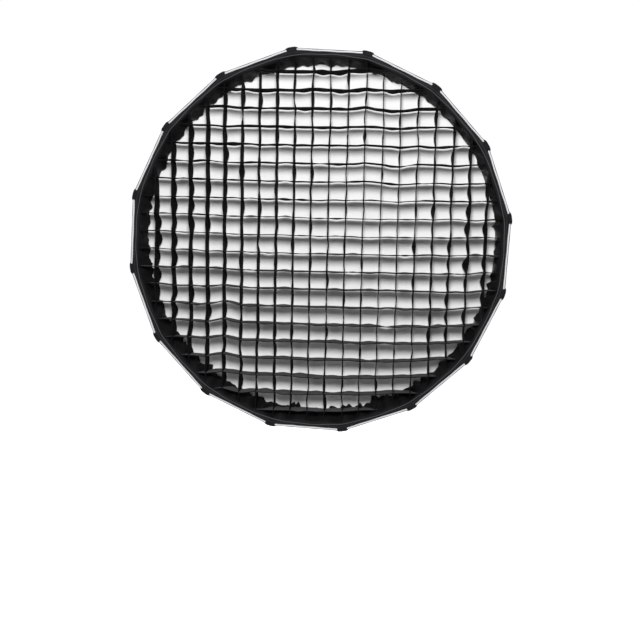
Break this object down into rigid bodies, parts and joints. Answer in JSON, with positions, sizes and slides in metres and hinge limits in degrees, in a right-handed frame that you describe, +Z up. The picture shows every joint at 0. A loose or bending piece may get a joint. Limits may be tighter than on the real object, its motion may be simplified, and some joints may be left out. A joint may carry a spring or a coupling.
{
  "type": "folding octabox softbox",
  "caption": "Deep parabolic folding softbox with a white front diffuser, an egg-crate grid and a turning bayonet speedring.",
  "frame": {"origin": "centre of the speedring adapter's rear face, the plane that seats on the lamp", "axes": "+Y along the box's axis towards the lamp, so the mouth faces -Y; +Z up, between the two top ribs"},
  "size_m": [0.891, 0.5295, 0.891],
  "materials": {
    "black_nylon": "coated ripstop nylon, black outside and silver inside",
    "grid_fabric": "matte black woven strips",
    "diffusion_fabric": "matte white translucent polyester",
    "black_aluminium": "black anodised, satin",
    "spring_steel": "drawn spring steel",
    "black_plastic": "moulded, matte"
  },
  "bodies": {
    "adapter": {"bayonet_adapter": "black_aluminium", "retaining_ring": "spring_steel"},
    "turning_ring": {"speedring": "black_aluminium", "hinge_wire": "spring_steel", "rear_collar": "black_nylon"},
    "lock_ring": {"lock_ring": "black_aluminium"},
    "lock_knob": {"lock_knob": "black_plastic"},
    "rib_01": {"rib_01": "spring_steel", "tip_pocket_01": "black_nylon"},
    "rib_02": {"rib_02": "spring_steel", "tip_pocket_02": "black_nylon"},
    "rib_03": {"rib_03": "spring_steel", "tip_pocket_03": "black_nylon"},
    "rib_04": {"rib_04": "spring_steel", "tip_pocket_04": "black_nylon"},
    "rib_05": {"rib_05": "spring_steel", "tip_pocket_05": "black_nylon"},
    "rib_06": {"rib_06": "spring_steel", "tip_pocket_06": "black_nylon"},
    "rib_07": {"rib_07": "spring_steel", "tip_pocket_07": "black_nylon"},
    "rib_08": {"rib_08": "spring_steel", "tip_pocket_08": "black_nylon"},
    "rib_09": {"rib_09": "spring_steel", "tip_pocket_09": "black_nylon"},
    "rib_10": {"rib_10": "spring_steel", "tip_pocket_10": "black_nylon"},
    "rib_11": {"rib_11": "spring_steel", "tip_pocket_11": "black_nylon"},
    "rib_12": {"rib_12": "spring_steel", "tip_pocket_12": "black_nylon"},
    "rib_13": {"rib_13": "spring_steel", "tip_pocket_13": "black_nylon"},
    "rib_14": {"rib_14": "spring_steel", "tip_pocket_14": "black_nylon"},
    "rib_15": {"rib_15": "spring_steel", "tip_pocket_15": "black_nylon"},
    "rib_16": {"rib_16": "spring_steel", "tip_pocket_16": "black_nylon"},
    "gore_01": {"gore_01": "black_nylon"},
    "gore_02": {"gore_02": "black_nylon"},
    "gore_03": {"gore_03": "black_nylon"},
    "gore_04": {"gore_04": "black_nylon"},
    "gore_05": {"gore_05": "black_nylon"},
    "gore_06": {"gore_06": "black_nylon"},
    "gore_07": {"gore_07": "black_nylon"},
    "gore_08": {"gore_08": "black_nylon"},
    "gore_09": {"gore_09": "black_nylon"},
    "gore_10": {"gore_10": "black_nylon"},
    "gore_11": {"gore_11": "black_nylon"},
    "gore_12": {"gore_12": "black_nylon"},
    "gore_13": {"gore_13": "black_nylon"},
    "gore_14": {"gore_14": "black_nylon"},
    "gore_15": {"gore_15": "black_nylon"},
    "gore_16": {"gore_16": "black_nylon"},
    "front_diffuser": {"front_diffuser": "diffusion_fabric"},
    "grid": {"grid": "grid_fabric"}
  },
  "joints": [
    {"name": "box_rotation", "type": "hinge", "parent": "adapter", "child": "turning_ring", "pos_m": [0, 0, 0], "axis": [0, 1, 0], "continuous": true},
    {"name": "frame_fold", "type": "hinge", "parent": "turning_ring", "child": "rib_01", "pos_m": [0.01717, -0.056, 0.08631], "axis": [0.9808, 0, -0.1951], "range_deg": [0, 37]},
    {"name": "rib_fold_02", "type": "hinge", "parent": "turning_ring", "child": "rib_02", "pos_m": [0.04889, -0.056, 0.07317], "axis": [0.8315, 0, -0.5556], "range_deg": [0, 37]},
    {"name": "rib_fold_03", "type": "hinge", "parent": "turning_ring", "child": "rib_03", "pos_m": [0.07317, -0.056, 0.04889], "axis": [0.5556, 0, -0.8315], "range_deg": [0, 37]},
    {"name": "rib_fold_04", "type": "hinge", "parent": "turning_ring", "child": "rib_04", "pos_m": [0.08631, -0.056, 0.01717], "axis": [0.1951, 0, -0.9808], "range_deg": [0, 37]},
    {"name": "rib_fold_05", "type": "hinge", "parent": "turning_ring", "child": "rib_05", "pos_m": [0.08631, -0.056, -0.01717], "axis": [-0.1951, 0, -0.9808], "range_deg": [0, 37]},
    {"name": "rib_fold_06", "type": "hinge", "parent": "turning_ring", "child": "rib_06", "pos_m": [0.07317, -0.056, -0.04889], "axis": [-0.5556, 0, -0.8315], "range_deg": [0, 37]},
    {"name": "rib_fold_07", "type": "hinge", "parent": "turning_ring", "child": "rib_07", "pos_m": [0.04889, -0.056, -0.07317], "axis": [-0.8315, 0, -0.5556], "range_deg": [0, 37]},
    {"name": "rib_fold_08", "type": "hinge", "parent": "turning_ring", "child": "rib_08", "pos_m": [0.01717, -0.056, -0.08631], "axis": [-0.9808, 0, -0.1951], "range_deg": [0, 37]},
    {"name": "rib_fold_09", "type": "hinge", "parent": "turning_ring", "child": "rib_09", "pos_m": [-0.01717, -0.056, -0.08631], "axis": [-0.9808, 0, 0.1951], "range_deg": [0, 37]},
    {"name": "rib_fold_10", "type": "hinge", "parent": "turning_ring", "child": "rib_10", "pos_m": [-0.04889, -0.056, -0.07317], "axis": [-0.8315, 0, 0.5556], "range_deg": [0, 37]},
    {"name": "rib_fold_11", "type": "hinge", "parent": "turning_ring", "child": "rib_11", "pos_m": [-0.07317, -0.056, -0.04889], "axis": [-0.5556, 0, 0.8315], "range_deg": [0, 37]},
    {"name": "rib_fold_12", "type": "hinge", "parent": "turning_ring", "child": "rib_12", "pos_m": [-0.08631, -0.056, -0.01717], "axis": [-0.1951, 0, 0.9808], "range_deg": [0, 37]},
    {"name": "rib_fold_13", "type": "hinge", "parent": "turning_ring", "child": "rib_13", "pos_m": [-0.08631, -0.056, 0.01717], "axis": [0.1951, 0, 0.9808], "range_deg": [0, 37]},
    {"name": "rib_fold_14", "type": "hinge", "parent": "turning_ring", "child": "rib_14", "pos_m": [-0.07317, -0.056, 0.04889], "axis": [0.5556, 0, 0.8315], "range_deg": [0, 37]},
    {"name": "rib_fold_15", "type": "hinge", "parent": "turning_ring", "child": "rib_15", "pos_m": [-0.04889, -0.056, 0.07317], "axis": [0.8315, 0, 0.5556], "range_deg": [0, 37]},
    {"name": "rib_fold_16", "type": "hinge", "parent": "turning_ring", "child": "rib_16", "pos_m": [-0.01717, -0.056, 0.08631], "axis": [0.9808, 0, 0.1951], "range_deg": [0, 37]},
    {"name": "gore_fold_01", "type": "hinge", "parent": "turning_ring", "child": "gore_01", "pos_m": [0.03303, -0.056, 0.07974], "axis": [0.9239, 0, -0.3827], "range_deg": [0, 37], "deforming": ["gore_01"]},
    {"name": "gore_fold_02", "type": "hinge", "parent": "turning_ring", "child": "gore_02", "pos_m": [0.06103, -0.056, 0.06103], "axis": [0.7071, 0, -0.7071], "range_deg": [0, 37], "deforming": ["gore_02"]},
    {"name": "gore_fold_03", "type": "hinge", "parent": "turning_ring", "child": "gore_03", "pos_m": [0.07974, -0.056, 0.03303], "axis": [0.3827, 0, -0.9239], "range_deg": [0, 37], "deforming": ["gore_03"]},
    {"name": "gore_fold_04", "type": "hinge", "parent": "turning_ring", "child": "gore_04", "pos_m": [0.08631, -0.056, 0], "axis": [0, 0, -1], "range_deg": [0, 37], "deforming": ["gore_04"]},
    {"name": "gore_fold_05", "type": "hinge", "parent": "turning_ring", "child": "gore_05", "pos_m": [0.07974, -0.056, -0.03303], "axis": [-0.3827, 0, -0.9239], "range_deg": [0, 37], "deforming": ["gore_05"]},
    {"name": "gore_fold_06", "type": "hinge", "parent": "turning_ring", "child": "gore_06", "pos_m": [0.06103, -0.056, -0.06103], "axis": [-0.7071, 0, -0.7071], "range_deg": [0, 37], "deforming": ["gore_06"]},
    {"name": "gore_fold_07", "type": "hinge", "parent": "turning_ring", "child": "gore_07", "pos_m": [0.03303, -0.056, -0.07974], "axis": [-0.9239, 0, -0.3827], "range_deg": [0, 37], "deforming": ["gore_07"]},
    {"name": "gore_fold_08", "type": "hinge", "parent": "turning_ring", "child": "gore_08", "pos_m": [0, -0.056, -0.08631], "axis": [-1, 0, 0], "range_deg": [0, 37], "deforming": ["gore_08"]},
    {"name": "gore_fold_09", "type": "hinge", "parent": "turning_ring", "child": "gore_09", "pos_m": [-0.03303, -0.056, -0.07974], "axis": [-0.9239, 0, 0.3827], "range_deg": [0, 37], "deforming": ["gore_09"]},
    {"name": "gore_fold_10", "type": "hinge", "parent": "turning_ring", "child": "gore_10", "pos_m": [-0.06103, -0.056, -0.06103], "axis": [-0.7071, 0, 0.7071], "range_deg": [0, 37], "deforming": ["gore_10"]},
    {"name": "gore_fold_11", "type": "hinge", "parent": "turning_ring", "child": "gore_11", "pos_m": [-0.07974, -0.056, -0.03303], "axis": [-0.3827, 0, 0.9239], "range_deg": [0, 37], "deforming": ["gore_11"]},
    {"name": "gore_fold_12", "type": "hinge", "parent": "turning_ring", "child": "gore_12", "pos_m": [-0.08631, -0.056, 0], "axis": [0, 0, 1], "range_deg": [0, 37], "deforming": ["gore_12"]},
    {"name": "gore_fold_13", "type": "hinge", "parent": "turning_ring", "child": "gore_13", "pos_m": [-0.07974, -0.056, 0.03303], "axis": [0.3827, 0, 0.9239], "range_deg": [0, 37], "deforming": ["gore_13"]},
    {"name": "gore_fold_14", "type": "hinge", "parent": "turning_ring", "child": "gore_14", "pos_m": [-0.06103, -0.056, 0.06103], "axis": [0.7071, 0, 0.7071], "range_deg": [0, 37], "deforming": ["gore_14"]},
    {"name": "gore_fold_15", "type": "hinge", "parent": "turning_ring", "child": "gore_15", "pos_m": [-0.03303, -0.056, 0.07974], "axis": [0.9239, 0, 0.3827], "range_deg": [0, 37], "deforming": ["gore_15"]},
    {"name": "gore_fold_16", "type": "hinge", "parent": "turning_ring", "child": "gore_16", "pos_m": [0, -0.056, 0.08631], "axis": [1, 0, 0], "range_deg": [0, 37], "deforming": ["gore_16"]},
    {"name": "lock_ring_slide", "type": "slide", "parent": "turning_ring", "child": "lock_ring", "axis": [0, 1, 0], "range_m": [0, 0.008]},
    {"name": "diffuser_off", "type": "slide", "parent": "turning_ring", "child": "front_diffuser", "axis": [0, -1, 0], "range_m": [0, 0.2], "deforming": ["front_diffuser"]},
    {"name": "grid_off", "type": "slide", "parent": "turning_ring", "child": "grid", "axis": [0, -1, 0], "range_m": [0, 0.21], "deforming": ["grid"]},
    {"name": "knob_turn", "type": "hinge", "parent": "turning_ring", "child": "lock_knob", "pos_m": [0, -0.0155, -0.095], "axis": [0, 0, -1], "range_deg": [0, 180]}
  ],
  "couplings": [
    {"joint": "rib_fold_02", "follows": "frame_fold", "ratio": 1},
    {"joint": "rib_fold_03", "follows": "frame_fold", "ratio": 1},
    {"joint": "rib_fold_04", "follows": "frame_fold", "ratio": 1},
    {"joint": "rib_fold_05", "follows": "frame_fold", "ratio": 1},
    {"joint": "rib_fold_06", "follows": "frame_fold", "ratio": 1},
    {"joint": "rib_fold_07", "follows": "frame_fold", "ratio": 1},
    {"joint": "rib_fold_08", "follows": "frame_fold", "ratio": 1},
    {"joint": "rib_fold_09", "follows": "frame_fold", "ratio": 1},
    {"joint": "rib_fold_10", "follows": "frame_fold", "ratio": 1},
    {"joint": "rib_fold_11", "follows": "frame_fold", "ratio": 1},
    {"joint": "rib_fold_12", "follows": "frame_fold", "ratio": 1},
    {"joint": "rib_fold_13", "follows": "frame_fold", "ratio": 1},
    {"joint": "rib_fold_14", "follows": "frame_fold", "ratio": 1},
    {"joint": "rib_fold_15", "follows": "frame_fold", "ratio": 1},
    {"joint": "rib_fold_16", "follows": "frame_fold", "ratio": 1},
    {"joint": "gore_fold_01", "follows": "frame_fold", "ratio": 1},
    {"joint": "gore_fold_02", "follows": "frame_fold", "ratio": 1},
    {"joint": "gore_fold_03", "follows": "frame_fold", "ratio": 1},
    {"joint": "gore_fold_04", "follows": "frame_fold", "ratio": 1},
    {"joint": "gore_fold_05", "follows": "frame_fold", "ratio": 1},
    {"joint": "gore_fold_06", "follows": "frame_fold", "ratio": 1},
    {"joint": "gore_fold_07", "follows": "frame_fold", "ratio": 1},
    {"joint": "gore_fold_08", "follows": "frame_fold", "ratio": 1},
    {"joint": "gore_fold_09", "follows": "frame_fold", "ratio": 1},
    {"joint": "gore_fold_10", "follows": "frame_fold", "ratio": 1},
    {"joint": "gore_fold_11", "follows": "frame_fold", "ratio": 1},
    {"joint": "gore_fold_12", "follows": "frame_fold", "ratio": 1},
    {"joint": "gore_fold_13", "follows": "frame_fold", "ratio": 1},
    {"joint": "gore_fold_14", "follows": "frame_fold", "ratio": 1},
    {"joint": "gore_fold_15", "follows": "frame_fold", "ratio": 1},
    {"joint": "gore_fold_16", "follows": "frame_fold", "ratio": 1},
    {"joint": "lock_ring_slide", "follows": "frame_fold", "m_per_rad": 0.0123},
    {"joint": "diffuser_off", "follows": "frame_fold", "m_per_rad": 0.3096},
    {"joint": "grid_off", "follows": "frame_fold", "m_per_rad": 0.325}
  ]
}
